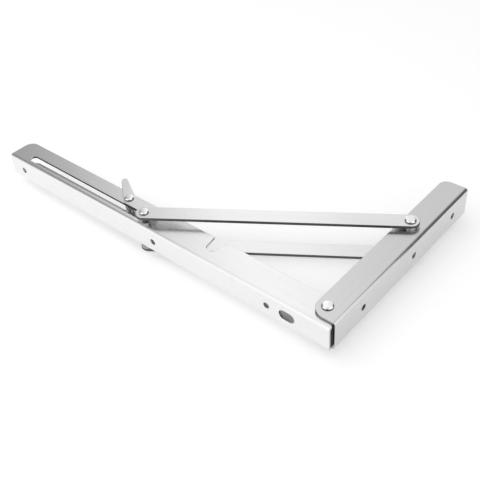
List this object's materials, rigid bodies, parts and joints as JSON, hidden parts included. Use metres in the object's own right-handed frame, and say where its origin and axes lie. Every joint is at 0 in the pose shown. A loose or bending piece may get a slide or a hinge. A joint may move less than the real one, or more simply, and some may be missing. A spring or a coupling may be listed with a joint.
{
  "type": "folding shelf bracket",
  "caption": "Folding shelf bracket of folded stainless channel: slotted shelf arm hinged to a wall arm, held open by flat strut bars on a latched slider.",
  "frame": {"origin": "on the wall face, halfway between the wall arm's end screw holes", "axes": "+X out of the wall face into the wall, +Y along the wall arm away from the corner, +Z across the bracket's width. The shelf arm runs towards -X with its shelf face towards -Y. In use +Y points down the wall and the shelf lies on the shelf arm; the row is stored lying on its side, as in the picture."},
  "size_m": [0.4, 0.2105, 0.0442],
  "materials": {
    "arm_steel": "brushed",
    "strut_steel": "brushed",
    "latch_steel": "brushed",
    "rivet_steel": "satin, turned",
    "fitting_steel": "satin",
    "spring_steel": "drawn wire"
  },
  "bodies": {
    "wall_arm": {"wall_arm": "arm_steel", "corner_pin": "rivet_steel", "corner_spacer": "fitting_steel", "corner_washer_upper": "fitting_steel", "corner_washer_lower": "fitting_steel", "brace_pin": "rivet_steel", "brace_spacer": "fitting_steel", "brace_washer_upper": "fitting_steel", "brace_washer_lower": "fitting_steel"},
    "shelf_arm": {"shelf_arm": "arm_steel", "latch_spring": "spring_steel"},
    "slider": {"slider_pin": "rivet_steel", "slider_spacer": "fitting_steel", "slider_bush_upper": "fitting_steel", "slider_bush_lower": "fitting_steel", "slider_collar_upper": "fitting_steel", "slider_collar_lower": "fitting_steel"},
    "strut": {"strut_bar_upper": "strut_steel", "strut_bar_lower": "strut_steel", "strut_rivet_upper": "rivet_steel", "strut_rivet_lower": "rivet_steel"},
    "latch": {"latch_plate_upper": "latch_steel", "latch_plate_lower": "latch_steel", "latch_pin": "rivet_steel", "latch_bush": "fitting_steel"}
  },
  "joints": [
    {"name": "fold", "type": "hinge", "parent": "wall_arm", "child": "shelf_arm", "pos_m": [-0.0152, -0.0978, 0], "axis": [0, 0, -1], "range_deg": [0, 90]},
    {"name": "slider_travel", "type": "slide", "parent": "shelf_arm", "child": "slider", "axis": [-1, 0, 0], "range_m": [0, 0.158]},
    {"name": "strut_swing", "type": "hinge", "parent": "slider", "child": "strut", "pos_m": [-0.2107, -0.1057, 0], "axis": [0, 0, -1], "range_deg": [0, 31.26]},
    {"name": "latch_release", "type": "hinge", "parent": "shelf_arm", "child": "latch", "pos_m": [-0.2424, -0.0953, 0], "axis": [0, 0, 1], "range_deg": [-7, 18], "stiffness_Nm_per_rad": 0.05}
  ],
  "couplings": [
    {"joint": "slider_travel", "follows": "fold", "m_per_rad": 0.10058},
    {"joint": "strut_swing", "follows": "fold", "ratio": 0.34729}
  ]
}
